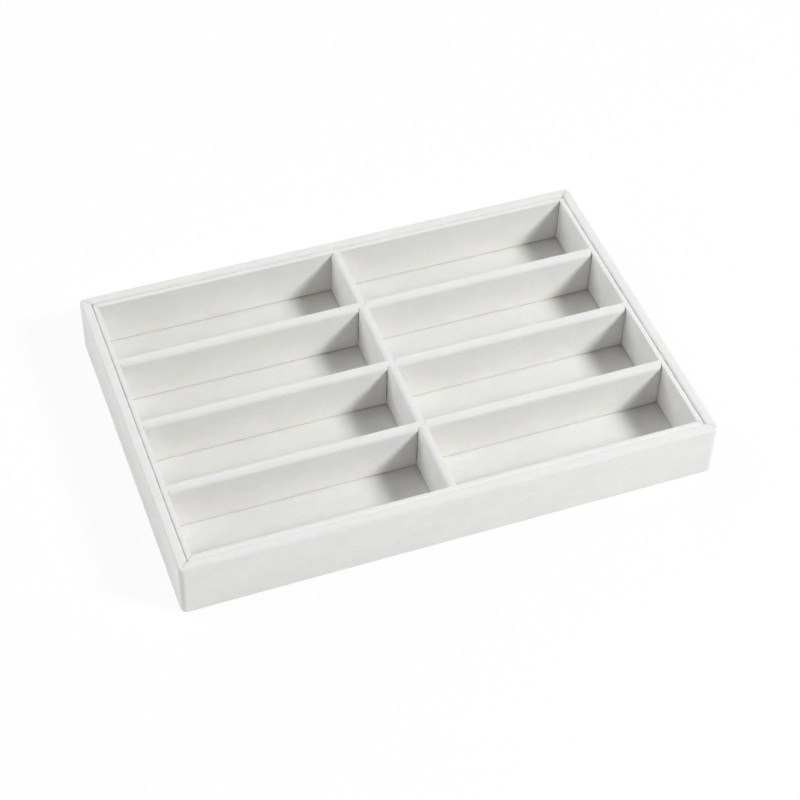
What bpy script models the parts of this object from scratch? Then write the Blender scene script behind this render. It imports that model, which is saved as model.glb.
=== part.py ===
"""Eyeglass storage tray: a shallow velvet-covered tray and, standing in it, a velvet-covered insert
whose half-lapped dividers make two columns of long compartments.

Metres, +Z up. The origin is on the ground under the middle of the tray. +X runs along the long side,
and -Y is the front. Every velvet cover is its own closed piece over the board that it wraps.
"""

from dataclasses import dataclass
from math import pi, sqrt

import bmesh
import bpy

# Outside of the tray
TRAY_WIDTH = 0.350
TRAY_DEPTH = 0.240
TRAY_HEIGHT = 0.041

# Thickness of each sheet and board
VELVET = 0.0006
UNDERSIDE_SHEET = 0.0005
WALL_BOARD = 0.0046
BASE_BOARD = 0.0020
FLOOR_CARD = 0.0010
LINER_CARD = 0.0014
DIVIDER_BOARD = 0.0032

# Fits between pieces
GLUE = 0.0003
SEAM_GAP = 0.0003
LAP_CLEARANCE = 0.0003
FLOOR_CLEARANCE = 0.0004
REST_GAP = 0.0003
INSERT_CLEARANCE = 0.0010
INSERT_DROP = 0.0008

# How far the long walls' velvet runs on past each corner, and how far in the underside sheet ends
CORNER_FOLD = 0.0020
UNDERSIDE_INSET = 0.0030

# Rounded edges
RIM_ROUNDING = 0.0020
INNER_RIM_ROUNDING = 0.0010
TRAY_CORNER_ROUNDING = 0.0025
FOOT_ROUNDING = 0.0006
LINER_ROUNDING = 0.0013
INSERT_CORNER_ROUNDING = 0.0016
DIVIDER_ROUNDING = 0.0018
FLOOR_ROUNDING = 0.0004
ROUND_STEPS = 4

# Compartments in each of the two columns
ROWS = 4

# A cover and its glue line on one face of a board, and the covered walls
WRAP = VELVET + GLUE
WALL = WALL_BOARD + 2 * WRAP
LINER = LINER_CARD + 2 * WRAP
DIVIDER = DIVIDER_BOARD + 2 * WRAP

# Levels, from the ground up
HEM_BOTTOM = UNDERSIDE_SHEET + GLUE
BASE_BOTTOM = HEM_BOTTOM + WRAP
BASE_TOP = BASE_BOTTOM + BASE_BOARD
CARD_BOTTOM = BASE_TOP + GLUE
CARD_TOP = CARD_BOTTOM + FLOOR_CARD
FLOOR_TOP = CARD_TOP + WRAP
INSERT_BOTTOM = FLOOR_TOP + REST_GAP
INSERT_TOP = TRAY_HEIGHT - INSERT_DROP
INSERT_HEIGHT = INSERT_TOP - INSERT_BOTTOM

# Plan sizes of the insert, outside and between its liner walls
INSERT_WIDTH = TRAY_WIDTH - 2 * (WALL + INSERT_CLEARANCE)
INSERT_DEPTH = TRAY_DEPTH - 2 * (WALL + INSERT_CLEARANCE)
INNER_WIDTH = INSERT_WIDTH - 2 * LINER
INNER_DEPTH = INSERT_DEPTH - 2 * LINER
ROW_PITCH = (INNER_DEPTH + DIVIDER) / ROWS

# How far a cutter reaches past what it cuts, and how close two points are to count as one
OVERRUN = 0.002
SAME = 1e-6

# Colour, roughness and metallic value
VELVET_FINISH = ((0.780, 0.775, 0.750, 1.0), 0.95, 0.0)
UNDERSIDE_FINISH = ((0.640, 0.635, 0.610, 1.0), 0.90, 0.0)
FIBREBOARD_FINISH = ((0.520, 0.390, 0.260, 1.0), 0.85, 0.0)
GREYBOARD_FINISH = ((0.420, 0.405, 0.380, 1.0), 0.90, 0.0)


def clear_scene():
    for thing in list(bpy.data.objects):
        bpy.data.objects.remove(thing, do_unlink=True)


def make_collection(name):
    made = bpy.data.collections.new(name)
    bpy.context.scene.collection.children.link(made)
    return made


def make_material(name, finish):
    colour, roughness, metallic = finish
    made = bpy.data.materials.new(name)
    made.use_nodes = True
    shader = made.node_tree.nodes["Principled BSDF"]
    shader.inputs["Base Color"].default_value = colour
    shader.inputs["Roughness"].default_value = roughness
    shader.inputs["Metallic"].default_value = metallic
    made.diffuse_color = colour
    return made


@dataclass(frozen=True)
class Seat:
    """Where a piece stands: its parent, its place under it and its turn about the upright axis."""

    parent: bpy.types.Object
    location: tuple = (0.0, 0.0, 0.0)
    turn: float = 0.0


class Workshop:
    """Holds the collections and materials, and puts finished shapes in their places."""

    def __init__(self):
        self.parts = make_collection("eyeglass_storage_tray")
        self.cutters = make_collection("cutters")
        self.velvet = make_material("velvet", VELVET_FINISH)
        self.underside = make_material("underside_suede", UNDERSIDE_FINISH)
        self.fibreboard = make_material("fibreboard", FIBREBOARD_FINISH)
        self.greyboard = make_material("greyboard", GREYBOARD_FINISH)

    def anchor(self, name, location, parent=None):
        made = bpy.data.objects.new(name, None)
        made.empty_display_size = WALL
        made.location = location
        made.parent = parent
        self.parts.objects.link(made)
        return made

    def piece(self, name, shape, material, seat):
        mesh = finished(name, shape)
        mesh.materials.append(material)
        mesh.shade_smooth()
        mesh.set_sharp_from_angle(angle=pi / 6)
        made = bpy.data.objects.new(name, mesh)
        self.parts.objects.link(made)
        made.parent = seat.parent
        made.location = seat.location
        made.rotation_euler.z = seat.turn
        return made

    def cut(self, piece, name, shape, operation="DIFFERENCE"):
        """Cuts a piece with a shape that is drawn on the piece's own axes."""
        cutter = bpy.data.objects.new(name, finished(name, shape))
        self.cutters.objects.link(cutter)
        cutter.parent = piece
        cutter.hide_render = True
        cutter.display_type = "WIRE"
        made = piece.modifiers.new(name, "BOOLEAN")
        made.operation = operation
        made.solver = "EXACT"
        made.object = cutter


def finished(name, shape):
    mesh = bpy.data.meshes.new(name)
    shape.to_mesh(mesh)
    shape.free()
    return mesh


def block(low, high):
    """A cuboid between two corners."""
    shape = bmesh.new()
    bmesh.ops.create_cube(shape, size=1.0)
    bmesh.ops.scale(shape, vec=[b - a for a, b in zip(low, high)], verts=shape.verts)
    bmesh.ops.translate(shape, vec=[(a + b) / 2 for a, b in zip(low, high)], verts=shape.verts)
    return shape


def round_edges(shape, radius, chosen):
    """Rounds the edges that chosen accepts, given the places of an edge's two ends."""
    if radius < SAME:
        return
    edges = [edge for edge in shape.edges if chosen(edge.verts[0].co, edge.verts[1].co)]
    bmesh.ops.bevel(
        shape,
        geom=edges,
        offset=radius,
        offset_type="OFFSET",
        segments=ROUND_STEPS,
        profile=0.5,
        affect="EDGES",
    )


def slab(width, depth, low, high, corner=0.0, top=0.0):
    """A flat panel with rounded upright corners and a rounded top edge."""
    shape = block((-width / 2, -depth / 2, low), (width / 2, depth / 2, high))
    round_edges(shape, corner, lambda a, b: abs(a.z - b.z) > SAME)
    round_edges(shape, top, lambda a, b: min(a.z, b.z) > high - SAME)
    return shape


def bar(length, thickness, low, high, outer=0.0, inner=0.0, corner=0.0, foot=0.0):
    """A wall along X with its outer side at -Y.

    outer and inner round the two long top edges, and foot the outer bottom edge. corner rounds the two
    outer upright edges, and then the outer and foot roundings run on round both ends.
    """
    side = thickness / 2
    corner = min(corner, side)
    outer = min(outer, corner if corner else side)
    inner = min(inner, thickness - outer)
    shape = block((-length / 2, -side, low), (length / 2, side, high))

    def on_inner_side(a, b):
        return min(a.y, b.y) > side - SAME

    def on_outer_side(a, b):
        return max(a.y, b.y) < SAME - side

    def at_top(a, b):
        return min(a.z, b.z) > high - SAME

    def at_foot(a, b):
        return max(a.z, b.z) < low + SAME

    def goes_round_outside(a, b):
        return not on_inner_side(a, b) if corner else on_outer_side(a, b)

    round_edges(shape, corner, lambda a, b: abs(a.z - b.z) > SAME and on_outer_side(a, b))
    round_edges(shape, outer, lambda a, b: at_top(a, b) and goes_round_outside(a, b))
    round_edges(shape, inner, lambda a, b: at_top(a, b) and on_inner_side(a, b))
    round_edges(shape, foot, lambda a, b: at_foot(a, b) and goes_round_outside(a, b))
    return shape


def eased(rounding, inset):
    """The roundings of a form that lies inset inside another."""
    return {edge: max(radius - inset, 0.0) for edge, radius in rounding.items()}


def inset_bar(length, thickness, low, high, rounding, inset):
    """The bar that lies inset inside another at its sides, ends and top."""
    return bar(length - 2 * inset, thickness - 2 * inset, low, high - inset, **eased(rounding, inset))


def prism(outline, low, high):
    """A flat outline raised into a closed shape."""
    curve = bpy.data.curves.new("outline", "CURVE")
    curve.dimensions = "2D"
    curve.fill_mode = "BOTH"
    curve.extrude = (high - low) / 2
    spline = curve.splines.new("POLY")
    spline.points.add(len(outline) - 1)
    for point, (x, y) in zip(spline.points, outline):
        point.co = (x, y, 0.0, 1.0)
    spline.use_cyclic_u = True
    holder = bpy.data.objects.new("outline", curve)
    bpy.context.scene.collection.objects.link(holder)
    raised = holder.evaluated_get(bpy.context.evaluated_depsgraph_get())
    mesh = bpy.data.meshes.new_from_object(raised)
    bpy.data.objects.remove(holder)
    bpy.data.curves.remove(curve)
    shape = bmesh.new()
    shape.from_mesh(mesh)
    bpy.data.meshes.remove(mesh)
    bmesh.ops.remove_doubles(shape, verts=shape.verts, dist=SAME)
    bmesh.ops.recalc_face_normals(shape, faces=shape.faces)
    bmesh.ops.translate(shape, vec=(0, 0, (low + high) / 2), verts=shape.verts)
    return shape


def cover_outline(length, thickness, fold, turns_corner):
    """Plan of one wall's cover, whose ends are mitred against its neighbours'.

    A cover that turns the corner runs on past it by the fold, and its neighbour's stops there.
    """
    gap = SEAM_GAP / 2
    slip = gap * sqrt(2)
    reach = thickness + OVERRUN
    if turns_corner:
        end = [(-OVERRUN, -OVERRUN), (-OVERRUN, fold - gap), (fold - gap + slip, fold - gap)]
    else:
        end = [(fold + gap, -OVERRUN), (fold + gap, fold + gap - slip)]
    end.append((slip + reach, reach))
    near = [(x - length / 2, y - thickness / 2) for x, y in end]
    far = [(-x, y) for x, y in reversed(near)]
    return near + far


@dataclass(frozen=True)
class Frame:
    """Four covered walls round a rectangle, each a board and the velvet over it."""

    name: str
    width: float
    depth: float
    thickness: float
    low: float
    high: float
    board_low: float
    space_low: float
    rounding: dict
    fold: float
    board: bpy.types.Material
    parent: bpy.types.Object

    def sides(self):
        """Name, length and seat of each wall, with its outer side facing out, and if it spans corners."""
        along = (self.width - self.thickness) / 2
        across = (self.depth - self.thickness) / 2
        yield f"front_{self.name}", self.width, Seat(self.parent, (0, -across, 0)), True
        yield f"back_{self.name}", self.width, Seat(self.parent, (0, across, 0), pi), True
        yield f"left_{self.name}", self.depth, Seat(self.parent, (-along, 0, 0), -pi / 2), False
        yield f"right_{self.name}", self.depth, Seat(self.parent, (along, 0, 0), pi / 2), False

    def make_cover(self, shop, name, length, seat, spans):
        form = bar(length, self.thickness, self.low, self.high, **self.rounding)
        cover = shop.piece(f"{name}_velvet", form, shop.velvet, seat)
        space = inset_bar(length, self.thickness, self.space_low, self.high, self.rounding, VELVET)
        shop.cut(cover, f"{name}_board_space", space)
        plan = cover_outline(length, self.thickness, self.fold, spans and self.fold > 0)
        mitred = prism(plan, self.low - OVERRUN, self.high + OVERRUN)
        shop.cut(cover, f"{name}_mitres", mitred, "INTERSECT")
        return cover

    def make_board(self, shop, name, length, seat, spans):
        """A wall that spans the corners has a full-length board, and the others' fit between those."""
        if spans:
            form = inset_bar(length, self.thickness, self.board_low, self.high, self.rounding, WRAP)
        else:
            between = length - 2 * (self.thickness - WRAP + GLUE)
            eased_edges = eased(self.rounding, WRAP)
            form = bar(between, self.thickness - 2 * WRAP, self.board_low, self.high - WRAP,
                       outer=eased_edges["outer"], inner=eased_edges["inner"])
        return shop.piece(f"{name}_board", form, self.board, seat)


def make_bottom(shop, tray):
    """The sheet underneath, the base board on the walls' turned-in velvet, and the covered floor panel."""
    seat = Seat(tray)
    sheet = slab(TRAY_WIDTH - 2 * UNDERSIDE_INSET, TRAY_DEPTH - 2 * UNDERSIDE_INSET,
                 0.0, UNDERSIDE_SHEET, corner=TRAY_CORNER_ROUNDING)
    shop.piece("underside_sheet", sheet, shop.underside, seat)
    base = slab(TRAY_WIDTH - 2 * WRAP, TRAY_DEPTH - 2 * WRAP,
                BASE_BOTTOM, BASE_TOP, corner=TRAY_CORNER_ROUNDING - WRAP)
    shop.piece("base_board", base, shop.fibreboard, seat)

    width = TRAY_WIDTH - 2 * (WALL + FLOOR_CLEARANCE)
    depth = TRAY_DEPTH - 2 * (WALL + FLOOR_CLEARANCE)
    velvet = slab(width, depth, CARD_BOTTOM, FLOOR_TOP, top=FLOOR_ROUNDING)
    cover = shop.piece("floor_velvet", velvet, shop.velvet, seat)
    space = slab(width - 2 * VELVET, depth - 2 * VELVET, CARD_BOTTOM - OVERRUN, FLOOR_TOP - VELVET)
    shop.cut(cover, "floor_card_space", space)
    card = slab(width - 2 * WRAP, depth - 2 * WRAP, CARD_BOTTOM, CARD_TOP)
    shop.piece("floor_card", card, shop.greyboard, seat)


def make_tray_walls(shop, tray):
    """The outer walls. Front and back run the whole width, and their velvet turns the corners."""
    walls = Frame(
        name="wall",
        width=TRAY_WIDTH,
        depth=TRAY_DEPTH,
        thickness=WALL,
        low=HEM_BOTTOM,
        high=TRAY_HEIGHT,
        board_low=BASE_TOP + GLUE,
        space_low=HEM_BOTTOM + VELVET,
        rounding={
            "outer": RIM_ROUNDING,
            "inner": INNER_RIM_ROUNDING,
            "corner": TRAY_CORNER_ROUNDING,
            "foot": FOOT_ROUNDING,
        },
        fold=CORNER_FOLD,
        board=shop.fibreboard,
        parent=tray,
    )
    for name, length, seat, spans in walls.sides():
        cover = walls.make_cover(shop, name, length, seat, spans)
        # The velvet's hem turns in under the base as far as the wall board's inner face
        opening = block((-length / 2 - OVERRUN, WALL / 2 - WRAP, HEM_BOTTOM - OVERRUN),
                        (length / 2 + OVERRUN, WALL / 2 + OVERRUN, BASE_TOP + GLUE))
        shop.cut(cover, f"{name}_base_space", opening)
        walls.make_board(shop, name, length, seat, spans)


def make_liner(shop, insert):
    """The insert's outer frame: four thin covered cards, mitred where they meet."""
    liner = Frame(
        name="liner",
        width=INSERT_WIDTH,
        depth=INSERT_DEPTH,
        thickness=LINER,
        low=0.0,
        high=INSERT_HEIGHT,
        board_low=0.0,
        space_low=-OVERRUN,
        rounding={"outer": LINER_ROUNDING, "inner": LINER_ROUNDING, "corner": INSERT_CORNER_ROUNDING},
        fold=0.0,
        board=shop.greyboard,
        parent=insert,
    )
    for side in liner.sides():
        liner.make_cover(shop, *side)
        liner.make_board(shop, *side)


def make_divider(shop, name, number, length, seat, slots, slot_low, slot_high):
    """One covered divider with a half-lap slot at each of the places along it."""
    rounding = {"outer": DIVIDER_ROUNDING, "inner": DIVIDER_ROUNDING}
    form = bar(length, DIVIDER, 0.0, INSERT_HEIGHT, **rounding)
    cover = shop.piece(f"{name}_velvet{number}", form, shop.velvet, seat)
    space = bar(length + 2 * OVERRUN, DIVIDER - 2 * VELVET, -OVERRUN, INSERT_HEIGHT - VELVET,
                **eased(rounding, VELVET))
    shop.cut(cover, f"{name}_board_space{number}", space)
    form = bar(length, DIVIDER_BOARD, 0.0, INSERT_HEIGHT - WRAP, **eased(rounding, WRAP))
    board = shop.piece(f"{name}_board{number}", form, shop.fibreboard, seat)

    half = DIVIDER / 2 + LAP_CLEARANCE
    across = DIVIDER / 2 + OVERRUN
    for piece in (cover, board):
        for index, place in enumerate(slots, start=1):
            slot = block((place - half, -across, slot_low), (place + half, across, slot_high))
            shop.cut(piece, f"{piece.name}_slot_{index}", slot)


def make_dividers(shop, insert):
    """The dividers, half-lapped: the centre one is slotted from below and the cross ones from above."""
    lap = INSERT_HEIGHT / 2
    rows = [(index - ROWS / 2) * ROW_PITCH for index in range(1, ROWS)]
    make_divider(shop, "centre_divider", "", INNER_DEPTH - 2 * GLUE, Seat(insert, turn=pi / 2),
                 rows, -OVERRUN, lap + LAP_CLEARANCE / 2)
    for number, y in enumerate(rows, start=1):
        make_divider(shop, "cross_divider", f"_{number}", INNER_WIDTH - 2 * GLUE, Seat(insert, (0, y, 0)),
                     [0.0], lap - LAP_CLEARANCE / 2, INSERT_HEIGHT + OVERRUN)


def main():
    clear_scene()
    shop = Workshop()
    tray = shop.anchor("tray", (0, 0, 0))
    insert = shop.anchor("insert_lift", (0, 0, INSERT_BOTTOM), parent=tray)
    make_bottom(shop, tray)
    make_tray_walls(shop, tray)
    make_liner(shop, insert)
    make_dividers(shop, insert)


main()
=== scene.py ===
"""Eyeglass storage tray: its velvet covers, the finish of its boards and the studio that it stands in.

Metres, +Z up, -Y to the front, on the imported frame. Every velvet cover is shaped along X with its outer
side towards -Y, as an open sheet, and is then set in its place, given its thickness and rolled at its
edges.
"""

from collections import namedtuple
from contextlib import contextmanager
from math import copysign, cos, pi, radians, sin, sqrt

import bmesh
import bpy
from bpy.props import FloatProperty, FloatVectorProperty, IntProperty, PointerProperty
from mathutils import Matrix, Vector


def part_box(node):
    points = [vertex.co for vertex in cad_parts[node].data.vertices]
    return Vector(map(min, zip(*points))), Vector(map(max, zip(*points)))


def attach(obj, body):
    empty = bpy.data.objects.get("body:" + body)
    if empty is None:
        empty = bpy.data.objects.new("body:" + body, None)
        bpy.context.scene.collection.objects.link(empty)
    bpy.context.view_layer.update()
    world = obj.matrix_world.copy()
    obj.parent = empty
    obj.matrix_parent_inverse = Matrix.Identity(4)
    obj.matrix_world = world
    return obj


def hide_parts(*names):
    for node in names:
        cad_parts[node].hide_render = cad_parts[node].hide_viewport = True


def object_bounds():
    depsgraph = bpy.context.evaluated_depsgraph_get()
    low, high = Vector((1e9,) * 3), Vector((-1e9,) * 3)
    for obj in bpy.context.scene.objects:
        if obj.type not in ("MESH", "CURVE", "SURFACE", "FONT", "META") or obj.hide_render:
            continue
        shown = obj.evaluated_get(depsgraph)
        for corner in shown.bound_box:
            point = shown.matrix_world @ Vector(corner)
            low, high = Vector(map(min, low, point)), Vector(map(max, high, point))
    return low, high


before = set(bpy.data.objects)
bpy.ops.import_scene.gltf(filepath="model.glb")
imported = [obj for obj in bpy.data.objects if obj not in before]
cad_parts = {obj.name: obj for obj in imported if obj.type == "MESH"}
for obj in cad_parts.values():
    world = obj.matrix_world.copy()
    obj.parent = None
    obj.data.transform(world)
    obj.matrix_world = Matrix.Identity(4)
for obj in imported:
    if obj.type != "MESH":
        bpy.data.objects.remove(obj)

bl_info = {
    "name": "Eyeglass Storage Tray",
    "version": (1, 0, 0),
    "blender": (4, 5, 0),
    "location": "View3D > Sidebar > Tray",
    "description": "Covers a compartment tray in velvet, finishes its boards and lights it",
    "category": "Add Mesh",
}

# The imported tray's box, before anything is added
CAD_LOW, CAD_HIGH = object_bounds()

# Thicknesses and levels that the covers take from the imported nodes
WALL_LOW, WALL_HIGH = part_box("front_wall_velvet")
WALL = WALL_HIGH.y - WALL_LOW.y
LINER_LOW, LINER_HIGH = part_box("front_liner_velvet")
LINER = LINER_HIGH.y - LINER_LOW.y
LINER_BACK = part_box("back_liner_velvet")[1]
LINER_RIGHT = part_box("right_liner_velvet")[1]
DIVIDER_LOW, DIVIDER_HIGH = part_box("centre_divider_velvet")
DIVIDER = DIVIDER_HIGH.x - DIVIDER_LOW.x
BASE_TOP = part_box("base_board")[1].z
FLOOR_LOW, FLOOR_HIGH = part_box("floor_velvet")
SHEET_LOW, SHEET_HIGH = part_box("underside_sheet")
CROSS_DIVIDERS = sorted(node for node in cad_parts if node.startswith("cross_divider_velvet"))

# The boards and cards inside the covers, by what they are made of
FIBREBOARDS = (
    "base_board", "front_wall_board", "back_wall_board", "left_wall_board", "right_wall_board",
    "centre_divider_board", "cross_divider_board_1", "cross_divider_board_2", "cross_divider_board_3",
)
GREYBOARDS = (
    "floor_card", "front_liner_board", "back_liner_board", "left_liner_board", "right_liner_board",
)

# How close two places are to count as one
SAME = 1e-5

# The least of a face's normal that points to a side, for the face to count as one of that side, and the
# least for an upright end
FACING = 0.5
FACING_END = 0.99

# An edge runs along an axis if at least this share of it does, and edges whose lengths are at least this
# share of the longest are divided alike, into no more than so many parts
ALONG = 0.999
ALIKE = 0.9
MOST_PARTS = 100

# A joint's outline round the other piece's rounded top: how many parts it has, and how many degrees of the
# rounding it follows
JOINT_PARTS = 6
JOINT_TURN = 80

# The distance between the waver's humps, the shares of the waver that the covers of the insert and of the
# floor take, and the share of the edge roll that the dividers' covers take
WAVER_SPACING = 0.022
INSERT_WAVER = 0.6
FLOOR_WAVER = 0.8
DIVIDER_ROLL = 0.5

# The bevel round the underside sheet
SHEET_BEVEL = 0.00014

# Edges are bevelled above the first angle, and look sharp above the second
BEVEL_ANGLE = radians(50)
SMOOTH_ANGLE = radians(40)

MM_PER_M = 1000.0
WHITE = (1.0, 1.0, 1.0, 1.0)

# The photograph's camera: its place, its turn and its lens
CAMERA_PLACE = (-0.32458, -0.83820, 0.97216)
CAMERA_TURN = (radians(42.9015), radians(-1.3813), radians(-20.0954))
CAMERA_LENS = 90.844
SENSOR_WIDTH = 36.0

# The square lamps, with their sizes in metres and their power in watts, and the place that they point at
Lamp = namedtuple("Lamp", "name place size power")
LAMPS = (
    Lamp("key_lamp", (1.559, -1.344, 1.747), 0.62, 66.0),
    Lamp("back_left_lamp", (-1.405, 1.204, 1.681), 1.8, 27.5),
    Lamp("left_low_lamp", (-2.433, -0.256, 0.512), 1.4, 18.2),
    Lamp("back_low_lamp", (0.250, 2.372, 0.749), 1.4, 20.5),
)
LAMP_AIM = Vector((0.0, 0.0, 0.02))

# The strength of the light from all round
ROOM_LIGHT = 0.095

# The studio's floor: its width, its depth under the tray, the size of its grain in millimetres, and the
# share of pure white in what the camera sees of it
STUDIO_WIDTH = 8.0
STUDIO_DROP = 0.0002
STUDIO_GRAIN = 30.0
STUDIO_WHITE = 0.9


class TraySizes(bpy.types.PropertyGroup):
    """Sizes of the velvet and of its rounded and joined edges"""

    velvet: FloatProperty(
        name="Velvet", description="Thickness of the velvet", default=0.0006, unit="LENGTH")
    pile: FloatProperty(
        name="Pile", description="How far the pile stands out beside a gap and on the dividers",
        default=0.00042, unit="LENGTH")
    rim_rounding: FloatProperty(
        name="Rim", description="Rounding of the tray's outer top edge", default=0.0018, unit="LENGTH")
    inner_rim_rounding: FloatProperty(
        name="Inner Rim", description="Rounding of the tray's inner top edge", default=0.0016, unit="LENGTH")
    corner_rounding: FloatProperty(
        name="Corners", description="Rounding of the tray's upright corners", default=0.0035, unit="LENGTH")
    foot_rounding: FloatProperty(
        name="Foot", description="Rounding of the tray's bottom edge", default=0.0010, unit="LENGTH")
    liner_rounding: FloatProperty(
        name="Liner", description="Rounding of the insert frame's outer top edge", default=0.0011,
        unit="LENGTH")
    liner_inner_rounding: FloatProperty(
        name="Inner Liner", description="Rounding of the insert frame's inner top edge", default=0.0005,
        unit="LENGTH")
    liner_corner: FloatProperty(
        name="Liner Corners", description="Rounding of the insert's outer corners", default=0.0016,
        unit="LENGTH")
    divider_rounding: FloatProperty(
        name="Dividers", description="Rounding of the dividers' tops towards the front and the left",
        default=0.0044, unit="LENGTH")
    divider_far_rounding: FloatProperty(
        name="Dividers, Far Side", description="Rounding of the dividers' tops on their other side",
        default=0.0006, unit="LENGTH")
    divider_crown: FloatProperty(
        name="Divider Crown", description="Height of a divider's rounding for its width", default=0.62)
    centre_stand: FloatProperty(
        name="Centre Divider", description="How far the centre divider stands to the left of the middle",
        default=0.0005, unit="LENGTH")
    floor_rounding: FloatProperty(
        name="Floor", description="Rounding of the floor panel's edge", default=0.0008, unit="LENGTH")
    fold: FloatProperty(
        name="Fold", description="How far the long walls' velvet turns the corner", default=0.0020,
        unit="LENGTH")
    seam_gap: FloatProperty(
        name="Seam", description="Gap between two velvet edges that meet", default=0.00016, unit="LENGTH")
    joint_gap: FloatProperty(
        name="Joint Gap", description="Gap beside a divider where it meets another piece, below its top",
        default=0.0004, unit="LENGTH")
    joint_close: FloatProperty(
        name="Joint Close", description="Height over which that gap closes towards the top",
        default=0.0010, unit="LENGTH")
    joint_press: FloatProperty(
        name="Joint Press", description="How far a divider's top presses into the other piece's pile",
        default=0.00016, unit="LENGTH")
    foot_strip: FloatProperty(
        name="Foot Strip", description="Height of the velvet left at the foot of a slot from above",
        default=0.0040, unit="LENGTH")
    foot_gap: FloatProperty(
        name="Foot Gap", description="Height of the insert's velvet above the floor", default=0.00035,
        unit="LENGTH")
    edge_roll: FloatProperty(
        name="Edge Roll", description="How far the pile rolls over a cut edge", default=0.00022,
        unit="LENGTH")
    waver: FloatProperty(
        name="Waver", description="How far the velvet strays from a true surface", default=0.00022,
        unit="LENGTH")
    hem: FloatProperty(
        name="Hem", description="Width of the velvet turned in under the tray", default=0.0055,
        unit="LENGTH")
    grid: FloatProperty(
        name="Grid", description="Spacing of the velvet's mesh", default=0.0025, unit="LENGTH")
    rounding_steps: IntProperty(
        name="Rounding Steps", description="Faces across each rounded edge", default=6, min=2, max=12)


class TrayColours(bpy.types.PropertyGroup):
    """Colours of the tray's cloth and boards"""

    velvet: FloatVectorProperty(
        name="Velvet", description="The velvet where its pile stands", subtype="COLOR", size=3, min=0, max=1,
        default=(0.822, 0.812, 0.782))
    velvet_deep: FloatVectorProperty(
        name="Velvet, Brushed", description="The velvet where its pile leans away", subtype="COLOR", size=3,
        min=0, max=1, default=(0.756, 0.741, 0.718))
    velvet_cool: FloatVectorProperty(
        name="Velvet, Cool", description="The velvet's cooler areas, of which a share is mixed in",
        subtype="COLOR", size=3, min=0, max=1, default=(0.782, 0.767, 0.797))
    velvet_warm: FloatVectorProperty(
        name="Velvet, Warm", description="The velvet's warmer areas, of which a share is mixed in",
        subtype="COLOR", size=3, min=0, max=1, default=(0.796, 0.786, 0.724))
    underside: FloatVectorProperty(
        name="Underside", description="The flocked sheet underneath", subtype="COLOR", size=3, min=0, max=1,
        default=(0.640, 0.635, 0.610))
    fibreboard: FloatVectorProperty(
        name="Fibreboard", description="The wall, base and divider boards", subtype="COLOR", size=3, min=0,
        max=1, default=(0.520, 0.390, 0.260))
    greyboard: FloatVectorProperty(
        name="Greyboard", description="The card of the floor and of the insert's frame", subtype="COLOR",
        size=3, min=0, max=1, default=(0.420, 0.405, 0.380))
    studio: FloatVectorProperty(
        name="Studio Floor", description="The plain floor that the tray stands on", subtype="COLOR", size=3,
        min=0, max=1, default=(0.920, 0.905, 0.890))
    light: FloatVectorProperty(
        name="Studio Light", description="The light of the lamps and from all round", subtype="COLOR",
        size=3, min=0, max=1, default=(0.963, 0.985, 1.0))


class Reading:
    """A shader socket's value, which can be reckoned with like a number."""

    def __init__(self, finish, socket):
        self.finish = finish
        self.socket = socket

    def reckoned(self, operation, first, second):
        return self.finish.add("ShaderNodeMath", {"operation": operation}, {0: first, 1: second})

    def __add__(self, other):
        return self.reckoned("ADD", self, other)

    def __radd__(self, other):
        return self.reckoned("ADD", other, self)

    def __sub__(self, other):
        return self.reckoned("SUBTRACT", self, other)

    def __rsub__(self, other):
        return self.reckoned("SUBTRACT", other, self)

    def __mul__(self, other):
        return self.reckoned("MULTIPLY", self, other)

    def __rmul__(self, other):
        return self.reckoned("MULTIPLY", other, self)


class Finish:
    """A material in the making. Its patterns are laid out in millimetres on Object coordinates."""

    def __init__(self, name):
        self.material = bpy.data.materials.new(name)
        self.material.use_nodes = True
        self.tree = self.material.node_tree
        self.shader = self.tree.nodes["Principled BSDF"]
        self.output = self.tree.nodes["Material Output"]

    def add(self, kind, settings, inputs, output=0):
        """Adds a node with its settings and its sockets' values or links, and gives one output."""
        node = self.tree.nodes.new(kind)
        for name, value in settings.items():
            setattr(node, name, value)
        for name, value in inputs.items():
            self.feed(node.inputs[name], value)
        return Reading(self, node.outputs[output])

    def feed(self, socket, value):
        if isinstance(value, Reading):
            self.tree.links.new(value.socket, socket)
        else:
            socket.default_value = value

    def place(self, stretch=(1.0, 1.0, 1.0)):
        """Object coordinates in millimetres, drawn out where stretch is below 1."""
        coordinates = self.add("ShaderNodeTexCoord", {}, {}, "Object")
        scale = [MM_PER_M * share for share in stretch]
        return self.add("ShaderNodeMapping", {}, {"Vector": coordinates, "Scale": scale})

    def noise(self, place, size, detail=2.0, roughness=0.5, distortion=0.0):
        """Noise from 0 to 1 whose blotches are about size millimetres across."""
        return self.add("ShaderNodeTexNoise", {"normalize": True}, {
            "Vector": place, "Scale": 1.0 / size, "Detail": detail, "Roughness": roughness,
            "Distortion": distortion})

    def spread(self, reading, low, high):
        """Stretches a reading so that low becomes 0 and high becomes 1."""
        return self.add("ShaderNodeMapRange", {"clamp": True}, {
            "Value": reading, "From Min": low, "From Max": high})

    def blend(self, share, first, second):
        """Mixes two colours. The numbers are those of a Mix node's sockets for colours."""
        return self.add("ShaderNodeMix", {"data_type": "RGBA"}, {0: share, 6: first, 7: second}, 2)

    def bump(self, height, strength, depth, normal=None):
        """Tilts the surface, or a normal, as a height from 0 to 1 over a depth in metres would."""
        inputs = {"Height": height, "Strength": strength, "Distance": depth}
        if normal is not None:
            inputs["Normal"] = normal
        return self.add("ShaderNodeBump", {}, inputs, "Normal")

    def set(self, **sockets):
        """Feeds the shader's sockets, named in lower case with underscores."""
        for name, value in sockets.items():
            title = name.replace("_", " ").title().replace("Ior", "IOR")
            self.feed(self.shader.inputs[title], value)


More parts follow.
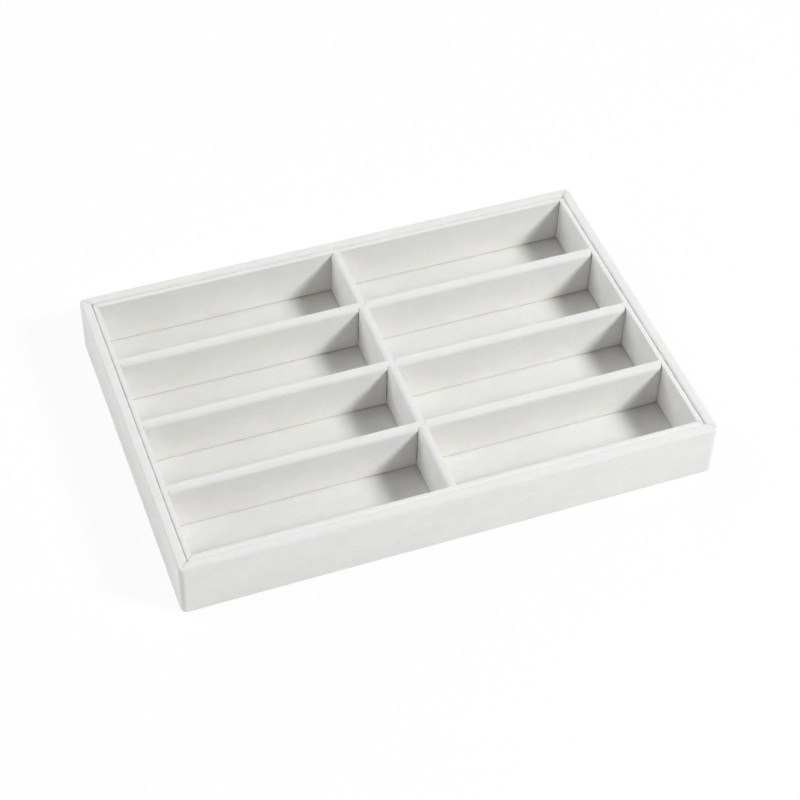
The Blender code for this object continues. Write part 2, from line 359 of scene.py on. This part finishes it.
def opaque(colour, share=1.0):
    """A colour with its alpha, at a share of its brightness."""
    return tuple(channel * share for channel in colour) + (1.0,)


def made_once(make):
    """The material that make builds, built on the first call only.

    Its name starts with tray_, because the frame brings plain materials of the same names without it.
    """
    name = f"tray_{make.__name__}"

    def fetch(colours):
        return bpy.data.materials.get(name) or make(colours, Finish(name))
    return fetch


@made_once
def velvet(colours, finish):
    """Short pile: fine fibres, small tufts, brushed patches, cooler and warmer areas and a soft sheen."""
    place = finish.place()
    fibres = finish.noise(place, size=0.20, detail=2.0, roughness=0.6)
    tufts = finish.noise(place, size=1.3, detail=3.0, roughness=0.65)
    patches = finish.noise(finish.place(stretch=(0.6, 1.0, 0.8)), size=11.0, detail=4.0, roughness=0.6,
                           distortion=0.8)
    areas = finish.noise(finish.place(stretch=(0.7, 1.0, 1.0)), size=16.0, detail=4.0, roughness=0.7,
                         distortion=1.0)
    leaning = finish.spread(patches * 0.45 + tufts * 0.40 + fibres * 0.15, low=0.36, high=0.64)
    pile = finish.blend(leaning, opaque(colours.velvet_deep), opaque(colours.velvet))
    tinted = 0.34
    coolness = finish.spread(0 - areas, low=-0.51, high=-0.35)
    cool = finish.blend(coolness * tinted, pile, opaque(colours.velvet_cool))
    warmth = finish.spread(areas, low=0.49, high=0.65)
    warm = finish.blend(warmth * tinted, cool, opaque(colours.velvet_warm))
    rough = 0.86 + finish.spread(patches, low=0.3, high=0.7) * 0.10
    nap = finish.bump(patches, strength=0.25, depth=0.0012)
    finish.set(
        base_color=warm,
        roughness=rough,
        normal=finish.bump(tufts * 0.6 + fibres * 0.4, strength=0.35, depth=0.00025, normal=nap),
        specular_ior_level=0.15,
        sheen_weight=0.25,
        sheen_roughness=0.30,
        sheen_tint=(1.0, 0.995, 0.985, 1.0),
    )
    return finish.material


@made_once
def underside_suede(colours, finish):
    """A thin flocked sheet, flatter and a little darker than the velvet, scuffed where it stands."""
    place = finish.place()
    flock = finish.noise(place, size=0.25, detail=2.0, roughness=0.65)
    mottle = finish.noise(place, size=5.0, detail=4.0, roughness=0.6)
    scuffs = finish.noise(finish.place(stretch=(0.15, 1.0, 1.0)), size=4.0, detail=5.0, roughness=0.7,
                          distortion=0.4)
    worn = finish.spread(scuffs, low=0.56, high=0.74)
    body = finish.blend(finish.spread(flock * 0.5 + mottle * 0.5, low=0.3, high=0.7),
                        opaque(colours.underside, share=0.90), opaque(colours.underside, share=1.05))
    finish.set(
        base_color=finish.blend(worn * 0.35, body, opaque(colours.underside, share=0.80)),
        roughness=0.93 - worn * 0.15,
        normal=finish.bump(flock * 0.7 + mottle * 0.3, strength=0.4, depth=0.00015),
        specular_ior_level=0.2,
        sheen_weight=0.15,
        sheen_roughness=0.5,
    )
    return finish.material


@made_once
def fibreboard(colours, finish):
    """Pressed wood fibre: short pale and dark fibres and fine pits."""
    place = finish.place()
    fibres = finish.noise(finish.place(stretch=(0.25, 1.0, 1.0)), size=0.35, detail=4.0, roughness=0.7)
    crossing = finish.noise(finish.place(stretch=(1.0, 0.25, 1.0)), size=0.4, detail=4.0, roughness=0.7)
    pits = finish.spread(finish.noise(place, size=0.5, detail=5.0, roughness=0.75), low=0.34, high=0.42)
    cloud = finish.noise(place, size=18.0, detail=2.0)
    mixture = finish.spread(fibres * 0.4 + crossing * 0.35 + cloud * 0.25, low=0.32, high=0.68)
    felted = finish.blend(mixture, opaque(colours.fibreboard, share=0.78),
                          opaque(colours.fibreboard, share=1.16))
    finish.set(
        base_color=finish.blend(pits, opaque(colours.fibreboard, share=0.55), felted),
        roughness=0.80 + fibres * 0.16,
        normal=finish.bump(fibres * 0.4 + crossing * 0.3 + pits * 0.3, strength=0.4, depth=0.0002),
        specular_ior_level=0.3,
    )
    return finish.material


@made_once
def greyboard(colours, finish):
    """Recycled card: grey pulp with pale and dark specks of paper fibre."""
    place = finish.place()
    pulp = finish.noise(place, size=2.2, detail=5.0, roughness=0.65)
    strands = finish.noise(finish.place(stretch=(0.3, 1.0, 1.0)), size=0.5, detail=3.0, roughness=0.7,
                           distortion=1.2)
    flecks = finish.add("ShaderNodeTexVoronoi", {"feature": "F1"}, {"Vector": place, "Scale": 0.9},
                        "Distance")
    dark = 1 - finish.spread(flecks, low=0.06, high=0.16)
    body = finish.blend(finish.spread(pulp * 0.6 + strands * 0.4, low=0.3, high=0.7),
                        opaque(colours.greyboard, share=0.84), opaque(colours.greyboard, share=1.14))
    finish.set(
        base_color=finish.blend(dark * 0.5, body, opaque(colours.greyboard, share=0.45)),
        roughness=0.84 + pulp * 0.12,
        normal=finish.bump(pulp * 0.5 + strands * 0.5, strength=0.35, depth=0.00018),
        specular_ior_level=0.3,
    )
    return finish.material


def select_only(piece):
    bpy.ops.object.select_all(action="DESELECT")
    piece.select_set(True)
    bpy.context.view_layer.objects.active = piece


@contextmanager
def editing(piece):
    """Edit mode on one piece, with nothing else selected."""
    select_only(piece)
    bpy.ops.object.mode_set(mode="EDIT")
    yield
    bpy.ops.object.mode_set(mode="OBJECT")


def pick(kind, wanted):
    """Selects, in edit mode, the edges or faces that wanted accepts."""
    bpy.ops.mesh.select_mode(type=kind)
    bpy.ops.mesh.select_all(action="DESELECT")
    mesh = bpy.context.edit_object.data
    sheet = bmesh.from_edit_mesh(mesh)
    for element in (sheet.edges if kind == "EDGE" else sheet.faces):
        if wanted(element):
            element.select_set(True)
    bmesh.update_edit_mesh(mesh)


def round_off(radius, steps, wanted):
    """Rounds the edges that wanted accepts, given the places of their two ends."""
    pick("EDGE", lambda edge: wanted(edge.verts[0].co, edge.verts[1].co))
    bpy.ops.mesh.bevel(offset=radius, segments=steps, profile=0.5, affect="EDGES", clamp_overlap=False)


def slice_faces(at, across, wanted):
    """Cuts new edges into the faces that wanted accepts, where a plane crosses them."""
    pick("FACE", wanted)
    bpy.ops.mesh.bisect(plane_co=at, plane_no=across)


def drop_faces(wanted):
    pick("FACE", wanted)
    bpy.ops.mesh.delete(type="FACE")


def faces_down(face):
    return face.normal.z < -FACING


def is_upright(start, end):
    """Whether an edge between two places goes up or down."""
    return abs(start.z - end.z) > SAME


def divide(axis, spacing):
    """Divides the edges that run along one axis, so that their parts are about spacing long.

    Edges of about the same length are divided into the same number of parts.
    """
    def length(edge):
        run = edge.verts[1].co - edge.verts[0].co
        return run.length if abs(run[axis]) > ALONG * run.length else 0.0

    sheet = bmesh.from_edit_mesh(bpy.context.edit_object.data)
    groups = []
    for long in sorted({length(edge) for edge in sheet.edges}, reverse=True):
        if not groups or long < ALIKE * groups[-1]:
            groups.append(long)
    for longest in reversed(groups):
        parts = min(round(longest / spacing), MOST_PARTS)
        if parts > 1:
            pick("EDGE", lambda edge: ALIKE * longest <= length(edge) < longest + SAME)
            bpy.ops.mesh.subdivide(number_cuts=parts - 1)


def modify(piece, kind, **settings):
    """Adds a modifier with its settings and applies it."""
    select_only(piece)
    bpy.ops.object.modifier_add(type=kind)
    modifier = piece.modifiers[-1]
    for name, value in settings.items():
        setattr(modifier, name, value)
    bpy.ops.object.modifier_apply(modifier=modifier.name)


def joint_outline(sizes, face, lean, rise, gap):
    """Where a divider's velvet ends beside a piece whose face is at a distance from the middle.

    The outline goes upwards, as pairs of a distance and a height. It keeps a gap below and closes it
    towards the top, where it presses into the piece's pile and follows its rounding. That leans outwards
    by lean, or inwards where lean is below 0, over a height of rise.
    """
    top = DIVIDER_HIGH.z
    away = copysign(1.0, lean)
    close = face + away * sizes.joint_press
    turns = [radians(JOINT_TURN * part / JOINT_PARTS) for part in range(JOINT_PARTS + 1)]
    rounded = [(close + lean * (1 - cos(turn)), top - rise + rise * sin(turn)) for turn in turns]
    return [(face - away * gap, top - rise - sizes.joint_close)] + rounded


class Cover:
    """A piece of cloth that starts as a block along X and becomes a sheet over its board.

    The crown is the rounding of its outer top edge, pressed down to crown_height of its height.
    """

    def __init__(self, name, sizes, low, high, crown, crown_height=1.0):
        self.sizes = sizes
        self.crown = crown
        self.crown_height = crown_height
        self.low = Vector(low)
        self.high = Vector(high) + Vector((0, 0, crown * (1 - crown_height)))
        bpy.ops.object.select_all(action="DESELECT")
        bpy.ops.mesh.primitive_cube_add(
            size=1.0, location=(self.low + self.high) / 2, scale=self.high - self.low)
        self.piece = bpy.context.active_object
        self.piece.name = self.piece.data.name = name
        bpy.ops.object.transform_apply(location=True, rotation=True, scale=True)

    def on_outer_side(self, place):
        return place.y < self.low.y + SAME

    def on_inner_side(self, place):
        return place.y > self.high.y - SAME

    def at_top(self, place):
        return place.z > self.high.z - SAME

    def at_foot(self, place):
        return place.z < self.low.z + SAME

    def round_edges(self, inner, corner=0.0, foot=0.0):
        """Rounds the long top edges and, if asked, the outer upright corners and the outer foot.

        With rounded corners, the inner edge is rounded only between two cuts near the ends, beyond which
        the mitre takes it away.
        """
        steps = self.sizes.rounding_steps
        near_end = self.high.x
        if corner:
            near_end -= (corner + self.high.y - self.low.y) / 2
            for side in (-1, 1):
                slice_faces((side * near_end, 0, 0), (1, 0, 0), lambda face: True)

            def is_corner(a, b):
                outside = self.on_outer_side(a) and self.on_outer_side(b)
                return outside and is_upright(a, b) and abs(a.x) > near_end + SAME

            round_off(corner, steps, is_corner)

        def goes_round(a, b):
            beyond = min(abs(a.x), abs(b.x)) > near_end + SAME
            return beyond or (self.on_outer_side(a) and self.on_outer_side(b))

        def goes_along_inside(a, b):
            within = max(abs(a.x), abs(b.x)) < near_end + SAME
            return within and self.on_inner_side(a) and self.on_inner_side(b)

        def along_top(a, b):
            return self.at_top(a) and self.at_top(b)

        round_off(self.crown, steps, lambda a, b: along_top(a, b) and goes_round(a, b))
        round_off(inner, steps, lambda a, b: along_top(a, b) and goes_along_inside(a, b))
        if foot:
            round_off(foot, steps, lambda a, b: self.at_foot(a) and self.at_foot(b) and goes_round(a, b))
        if self.crown_height != 1.0:
            self.press_crown()

    def press_crown(self):
        """Presses the rounded top down to its height."""
        start = self.high.z - self.crown
        pick("FACE", lambda face: all(corner.co.z > start - SAME for corner in face.verts))
        bpy.ops.transform.resize(value=(1.0, 1.0, self.crown_height), center_override=(0.0, 0.0, start))

    def divide(self):
        for axis in range(3):
            divide(axis, self.sizes.grid)

    def cut_outlines(self, middle, outlines, gone):
        """Cuts along an outline on each side of a middle, and drops the faces that gone accepts.

        The outlines, for -X and +X, are pairs of a distance from the middle and a height, and are upright
        below them. gone gets how far a face lies outside its outline, and the face's height.
        """
        for side, outline in zip((-1, 1), outlines):
            def near(face):
                away = side * (face.calc_center_median().x - middle)
                return abs(away - outline[0][0]) < 2 * self.sizes.grid

            slice_faces((middle + side * outline[0][0], 0, 0), (1, 0, 0), near)
            for (out, z), (next_out, next_z) in zip(outline, outline[1:]):
                slice_faces((middle + side * out, 0, z), (next_z - z, 0, side * (out - next_out)), near)

        left, right = outlines

        def dropped(face):
            centre = face.calc_center_median()
            outline = right if centre.x > middle else left
            edge = outline[0][0] if centre.z < outline[0][1] else outline[-1][0]
            for (out, z), (next_out, next_z) in zip(outline, outline[1:]):
                if z <= centre.z < next_z:
                    edge = out + (next_out - out) * (centre.z - z) / (next_z - z)
            return gone(abs(centre.x - middle) - edge, centre.z)

        drop_faces(dropped)

    def mitre(self, fold, turns_corner):
        """Cuts both ends at 45 degrees to meet the neighbours, or at the seam beside the corner."""
        gap = self.sizes.seam_gap / 2
        slip = gap * sqrt(2)
        end = self.high.x
        near_end = end - (self.high.y - self.low.y) - fold

        def at_ends(face):
            return abs(face.calc_center_median().x) > near_end - self.sizes.grid

        for side in (-1, 1):
            slice_faces((side * (end - slip), self.low.y, 0), (side, 1, 0), at_ends)
            if fold and turns_corner:
                slice_faces((0, self.low.y + fold - gap, 0), (0, 1, 0), at_ends)
            elif fold:
                slice_faces((side * (end - fold - gap), 0, 0), (side, 0, 0), at_ends)

        def beyond(face):
            centre = face.calc_center_median()
            along = end - abs(centre.x)
            across = centre.y - self.low.y
            past_mitre = across > along - slip
            if turns_corner:
                return past_mitre and across > fold - gap
            return past_mitre or along < fold + gap

        drop_faces(beyond)


def copy_of(piece, name):
    """A copy of a piece with its own mesh."""
    select_only(piece)
    bpy.ops.object.duplicate(linked=False)
    twin = bpy.context.active_object
    twin.name = twin.data.name = name
    return twin


def set_in_place(piece, location, turn=0.0):
    """Moves and turns a piece in its mesh, so that its object stays at the origin."""
    select_only(piece)
    piece.location = location
    piece.rotation_euler.z = turn
    bpy.ops.object.transform_apply(location=True, rotation=True, scale=True)


def dress(piece, sizes, material, waver, roll):
    """Lets an open sheet waver a little, gives it its thickness and rolls its cut edges."""
    clouds = bpy.data.textures.new(f"{piece.name}_waver", "CLOUDS")
    clouds.noise_scale = WAVER_SPACING
    clouds.noise_depth = 1
    modify(piece, "DISPLACE", texture=clouds, texture_coords="LOCAL", strength=waver, mid_level=0.5)
    modify(piece, "SOLIDIFY", thickness=sizes.velvet, offset=-1.0, use_even_offset=True,
           use_quality_normals=True)
    bevel_and_smooth(piece, roll)
    piece.data.materials.append(material)


def bevel_and_smooth(piece, width):
    """Bevels a piece's sharp edges and smooths the rest."""
    modify(piece, "BEVEL", width=width, segments=2, limit_method="ANGLE", angle_limit=BEVEL_ANGLE)
    bpy.ops.object.shade_smooth_by_angle(angle=SMOOTH_ANGLE)


def stand_for(piece, node, body):
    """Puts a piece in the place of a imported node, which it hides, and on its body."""
    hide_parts(node)
    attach(piece, body)


# One wall round a rectangle: its name, its length, whether it spans the corners, its place and its turn
Side = namedtuple("Side", "name length spans seat turn")


def facing_pairs(width, depth, thickness):
    """The two pairs of like walls round a rectangle, the long ones first, which span its corners."""
    across = (depth - thickness) / 2
    along = (width - thickness) / 2
    long_pair = (Side("front", width, True, (0.0, -across, 0.0), 0.0),
                 Side("back", width, True, (0.0, across, 0.0), pi))
    short_pair = (Side("left", depth, False, (-along, 0.0, 0.0), -pi / 2),
                  Side("right", depth, False, (along, 0.0, 0.0), pi / 2))
    return long_pair, short_pair


class TRAY_OT_cover_walls(bpy.types.Operator):
    """Cover the four walls of the tray. The long walls' velvet turns the corners"""

    bl_idname = "tray.cover_walls"
    bl_label = "Cover Walls"

    def execute(self, context):
        sizes = context.scene.tray_sizes
        colours = context.scene.tray_colours
        size = CAD_HIGH - CAD_LOW
        for pair in facing_pairs(size.x, size.y, WALL):
            length, spans = pair[0].length, pair[0].spans
            cover = Cover(f"{pair[0].name}_wall_cover", sizes, (-length / 2, -WALL / 2, WALL_LOW.z),
                          (length / 2, WALL / 2 + sizes.pile, WALL_HIGH.z), sizes.rim_rounding)
            with editing(cover.piece):
                cover.round_edges(sizes.inner_rim_rounding, sizes.corner_rounding, sizes.foot_rounding)
                cover.divide()
                self.open_for_base(cover, sizes)
                cover.mitre(sizes.fold, spans)
            for side, piece in zip(pair, (cover.piece, copy_of(cover.piece, f"{pair[1].name}_wall_cover"))):
                set_in_place(piece, side.seat, side.turn)
                dress(piece, sizes, velvet(colours), sizes.waver, sizes.edge_roll)
                stand_for(piece, f"{side.name}_wall_velvet", "tray")
        return {"FINISHED"}

    def open_for_base(self, cover, sizes):
        """Leaves the velvet's hem under the base board and ends its inner side above that board."""
        def faces_in(face):
            return face.normal.y > FACING

        hem_end = cover.low.y + sizes.hem
        slice_faces((0, hem_end, 0), (0, 1, 0), faces_down)
        drop_faces(lambda face: faces_down(face) and face.calc_center_median().y > hem_end)
        slice_faces((0, 0, BASE_TOP), (0, 0, 1), faces_in)
        drop_faces(lambda face: faces_in(face) and face.calc_center_median().z < BASE_TOP)


class TRAY_OT_cover_liner(bpy.types.Operator):
    """Cover the four thin cards of the insert's frame"""

    bl_idname = "tray.cover_liner"
    bl_label = "Cover Insert Frame"

    def execute(self, context):
        sizes = context.scene.tray_sizes
        colours = context.scene.tray_colours
        for pair in facing_pairs(2 * LINER_RIGHT.x, 2 * LINER_BACK.y, LINER):
            length = pair[0].length
            reach = length / 2 + sizes.pile
            cover = Cover(f"{pair[0].name}_liner_cover", sizes,
                          (-reach, -LINER / 2 - sizes.pile, LINER_LOW.z + sizes.foot_gap),
                          (reach, LINER / 2, LINER_HIGH.z), sizes.liner_rounding)
            with editing(cover.piece):
                cover.round_edges(sizes.liner_inner_rounding, sizes.liner_corner)
                cover.divide()
                drop_faces(faces_down)
                cover.mitre(fold=0.0, turns_corner=False)
            for side, piece in zip(pair, (cover.piece, copy_of(cover.piece, f"{pair[1].name}_liner_cover"))):
                set_in_place(piece, side.seat, side.turn)
                dress(piece, sizes, velvet(colours), sizes.waver * INSERT_WAVER, sizes.edge_roll)
                stand_for(piece, f"{side.name}_liner_velvet", "insert")
        return {"FINISHED"}


def shape_divider(sizes, name, inner, slots, slotted_above):
    """Shapes one divider's cover, with a slot where each other divider crosses it.

    Its ends lean over the rounded top of the insert's frame. A slot from above closes in on the rounded
    top of the divider in it, and leaves only a strip of the velvet at the foot. One from below ends at
    half height.
    """
    low, high = DIVIDER_LOW.z, DIVIDER_HIGH.z
    lap = low + sizes.foot_strip if slotted_above else (low + high) / 2
    half = DIVIDER / 2 + sizes.pile
    reach = inner / 2 + sizes.liner_inner_rounding
    cover = Cover(name, sizes, (-reach, -half, low + sizes.foot_gap), (reach, half, high),
                  sizes.divider_rounding, sizes.divider_crown)
    seam = sizes.seam_gap / 2
    sides = [[(half + seam, high)]] * 2
    if slotted_above:
        joints = ((sizes.divider_rounding, sizes.joint_gap), (sizes.divider_far_rounding, seam))
        sides = [joint_outline(sizes, half, -rounding, rounding * sizes.divider_crown, gap)
                 for rounding, gap in joints]
    lean = sizes.liner_inner_rounding
    ends = [joint_outline(sizes, inner / 2, lean, lean, sizes.joint_gap)] * 2
    with editing(cover.piece):
        cover.round_edges(sizes.divider_far_rounding)
        cover.divide()
        drop_faces(lambda face: faces_down(face) or abs(face.normal.x) > FACING_END)
        slice_faces((0, 0, lap), (0, 0, 1), lambda face: abs(face.normal.y) > FACING)
        for middle in slots:
            cover.cut_outlines(middle, sides, lambda past, z: past < 0 and (z > lap) == slotted_above)
        cover.cut_outlines(0.0, ends, lambda past, z: past > 0)
    return cover.piece


def finish_divider(piece, sizes, colours, node):
    dress(piece, sizes, velvet(colours), sizes.waver * INSERT_WAVER, sizes.edge_roll * DIVIDER_ROLL)
    stand_for(piece, node, "insert")


def divider_rows():
    """How far back each cross divider stands."""
    return [(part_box(node)[0].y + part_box(node)[1].y) / 2 for node in CROSS_DIVIDERS]


class TRAY_OT_cover_centre_divider(bpy.types.Operator):
    """Cover the divider that runs from front to back, slotted from below"""

    bl_idname = "tray.cover_centre_divider"
    bl_label = "Cover Centre Divider"

    def execute(self, context):
        sizes = context.scene.tray_sizes
        inner = 2 * (LINER_BACK.y - LINER)
        piece = shape_divider(sizes, "centre_divider_cover", inner, divider_rows(), slotted_above=False)
        set_in_place(piece, (-sizes.centre_stand, 0.0, 0.0), -pi / 2)
        finish_divider(piece, sizes, context.scene.tray_colours, "centre_divider_velvet")
        return {"FINISHED"}


class TRAY_OT_cover_cross_dividers(bpy.types.Operator):
    """Cover the dividers that run from left to right, slotted from above"""

    bl_idname = "tray.cover_cross_dividers"
    bl_label = "Cover Cross Dividers"

    def execute(self, context):
        sizes = context.scene.tray_sizes
        inner = 2 * (LINER_RIGHT.x - LINER)
        first = shape_divider(sizes, "cross_divider_cover_1", inner, [-sizes.centre_stand],
                              slotted_above=True)
        pieces = [first] + [copy_of(first, f"cross_divider_cover_{number}") for number in (2, 3)]
        for piece, node, row in zip(pieces, CROSS_DIVIDERS, divider_rows()):
            set_in_place(piece, (0.0, row, 0.0))
            finish_divider(piece, sizes, context.scene.tray_colours, node)
        return {"FINISHED"}


class TRAY_OT_cover_floor(bpy.types.Operator):
    """Cover the floor panel that the insert stands on"""

    bl_idname = "tray.cover_floor"
    bl_label = "Cover Floor Panel"

    def execute(self, context):
        sizes = context.scene.tray_sizes
        colours = context.scene.tray_colours
        cover = Cover("floor_cover", sizes, FLOOR_LOW, FLOOR_HIGH, 0.0)
        with editing(cover.piece):
            round_off(2 * sizes.floor_rounding, sizes.rounding_steps, is_upright)
            round_off(sizes.floor_rounding, sizes.rounding_steps,
                      lambda a, b: cover.at_top(a) and cover.at_top(b))
            cover.divide()
            drop_faces(faces_down)
        dress(cover.piece, sizes, velvet(colours), sizes.waver * FLOOR_WAVER, sizes.edge_roll)
        stand_for(cover.piece, "floor_velvet", "tray")
        return {"FINISHED"}


class TRAY_OT_lay_underside(bpy.types.Operator):
    """Lay the flocked sheet that closes the tray from below"""

    bl_idname = "tray.lay_underside"
    bl_label = "Lay Underside Sheet"

    def execute(self, context):
        sizes = context.scene.tray_sizes
        colours = context.scene.tray_colours
        sheet = Cover("underside_cover", sizes, SHEET_LOW, SHEET_HIGH, 0.0)
        with editing(sheet.piece):
            round_off(sizes.corner_rounding, sizes.rounding_steps, is_upright)
            divide(0, 2 * sizes.grid)
            divide(1, 2 * sizes.grid)
        bevel_and_smooth(sheet.piece, SHEET_BEVEL)
        sheet.piece.data.materials.append(underside_suede(colours))
        stand_for(sheet.piece, "underside_sheet", "tray")
        return {"FINISHED"}


class TRAY_OT_finish_boards(bpy.types.Operator):
    """Give the boards and cards inside the covers their fibreboard and greyboard"""

    bl_idname = "tray.finish_boards"
    bl_label = "Finish Boards"

    def execute(self, context):
        colours = context.scene.tray_colours
        for nodes, finished in ((FIBREBOARDS, fibreboard), (GREYBOARDS, greyboard)):
            for node in nodes:
                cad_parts[node].material_slots[0].material = finished(colours)
        return {"FINISHED"}


def softbox(lamp, colour):
    """A square lamp, turned towards the middle of the tray."""
    bpy.ops.object.light_add(type="AREA", location=lamp.place)
    box = bpy.context.active_object
    box.name = box.data.name = lamp.name
    box.data.color = colour
    box.data.size = lamp.size
    box.data.energy = lamp.power
    box.rotation_euler = (LAMP_AIM - Vector(lamp.place)).to_track_quat("-Z", "Y").to_euler()


class TRAY_OT_set_stage(bpy.types.Operator):
    """Set up the plain floor, the lamps, the light all round and the camera"""

    bl_idname = "tray.set_stage"
    bl_label = "Set Stage"

    def execute(self, context):
        colours = context.scene.tray_colours
        self.lay_floor(colours)
        self.surround(context.scene, colours)
        for lamp in LAMPS:
            softbox(lamp, colours.light)
        self.place_camera(context.scene)
        context.scene.view_settings.view_transform = "Standard"
        return {"FINISHED"}

    def lay_floor(self, colours):
        """A plain floor that looks white to the camera and still keeps a part of the tray's shadow."""
        bpy.ops.object.select_all(action="DESELECT")
        bpy.ops.mesh.primitive_plane_add(size=STUDIO_WIDTH, location=(0, 0, CAD_LOW.z - STUDIO_DROP))
        floor = bpy.context.active_object
        floor.name = "studio_floor"
        finish = Finish("studio_floor")
        grain = finish.noise(finish.place(), size=STUDIO_GRAIN, detail=2.0)
        finish.set(
            base_color=finish.blend(grain, opaque(colours.studio, share=0.99), opaque(colours.studio)),
            roughness=0.9,
            specular_ior_level=0.0,
        )
        seen = finish.add("ShaderNodeLightPath", {}, {}, "Is Camera Ray")
        mirrored = finish.add("ShaderNodeLightPath", {}, {}, "Is Glossy Ray")
        through = finish.add("ShaderNodeLightPath", {}, {}, "Is Transmission Ray")
        white = finish.add("ShaderNodeEmission", {}, {"Color": WHITE, "Strength": 1.0})
        lit = Reading(finish, finish.shader.outputs[0])
        share = (seen + mirrored + through) * STUDIO_WHITE
        mixed = finish.add("ShaderNodeMixShader", {}, {0: share, 1: lit, 2: white})
        finish.feed(finish.output.inputs["Surface"], mixed)
        floor.data.materials.append(finish.material)

    def surround(self, scene, colours):
        """Even light from all round, which the camera sees as white."""
        world = bpy.data.worlds.new("studio_light")
        scene.world = world
        world.use_nodes = True
        tree = world.node_tree
        background = tree.nodes["Background"]
        background.inputs["Color"].default_value = opaque(colours.light)
        background.inputs["Strength"].default_value = ROOM_LIGHT
        white = tree.nodes.new("ShaderNodeBackground")
        white.inputs["Color"].default_value = WHITE
        path = tree.nodes.new("ShaderNodeLightPath")
        mixed = tree.nodes.new("ShaderNodeMixShader")
        tree.links.new(path.outputs["Is Camera Ray"], mixed.inputs[0])
        tree.links.new(background.outputs[0], mixed.inputs[1])
        tree.links.new(white.outputs[0], mixed.inputs[2])
        tree.links.new(mixed.outputs[0], tree.nodes["World Output"].inputs["Surface"])

    def place_camera(self, scene):
        bpy.ops.object.camera_add(location=CAMERA_PLACE, rotation=CAMERA_TURN)
        camera = bpy.context.active_object
        camera.name = "photo_camera"
        camera.data.lens = CAMERA_LENS
        camera.data.sensor_width = SENSOR_WIDTH
        scene.camera = camera


class TRAY_PT_sidebar(bpy.types.Panel):
    """The tray's sizes, colours and steps"""

    bl_label = "Eyeglass Tray"
    bl_idname = "TRAY_PT_sidebar"
    bl_space_type = "VIEW_3D"
    bl_region_type = "UI"
    bl_category = "Tray"

    def draw(self, context):
        for group in (context.scene.tray_sizes, context.scene.tray_colours):
            box = self.layout.box()
            for name in group.__annotations__:
                box.prop(group, name)
        for step in STEPS:
            self.layout.operator(step.bl_idname)


STEPS = (
    TRAY_OT_cover_walls,
    TRAY_OT_cover_liner,
    TRAY_OT_cover_centre_divider,
    TRAY_OT_cover_cross_dividers,
    TRAY_OT_cover_floor,
    TRAY_OT_lay_underside,
    TRAY_OT_finish_boards,
    TRAY_OT_set_stage,
)
CLASSES = (TraySizes, TrayColours) + STEPS + (TRAY_PT_sidebar,)


def register():
    for made in CLASSES:
        bpy.utils.register_class(made)
    bpy.types.Scene.tray_sizes = PointerProperty(type=TraySizes)
    bpy.types.Scene.tray_colours = PointerProperty(type=TrayColours)


def unregister():
    del bpy.types.Scene.tray_colours
    del bpy.types.Scene.tray_sizes
    for made in reversed(CLASSES):
        bpy.utils.unregister_class(made)


def main():
    register()
    bpy.ops.tray.cover_walls()
    bpy.ops.tray.cover_liner()
    bpy.ops.tray.cover_centre_divider()
    bpy.ops.tray.cover_cross_dividers()
    bpy.ops.tray.cover_floor()
    bpy.ops.tray.lay_underside()
    bpy.ops.tray.finish_boards()
    bpy.ops.tray.set_stage()


if __name__ == "__main__":
    main()
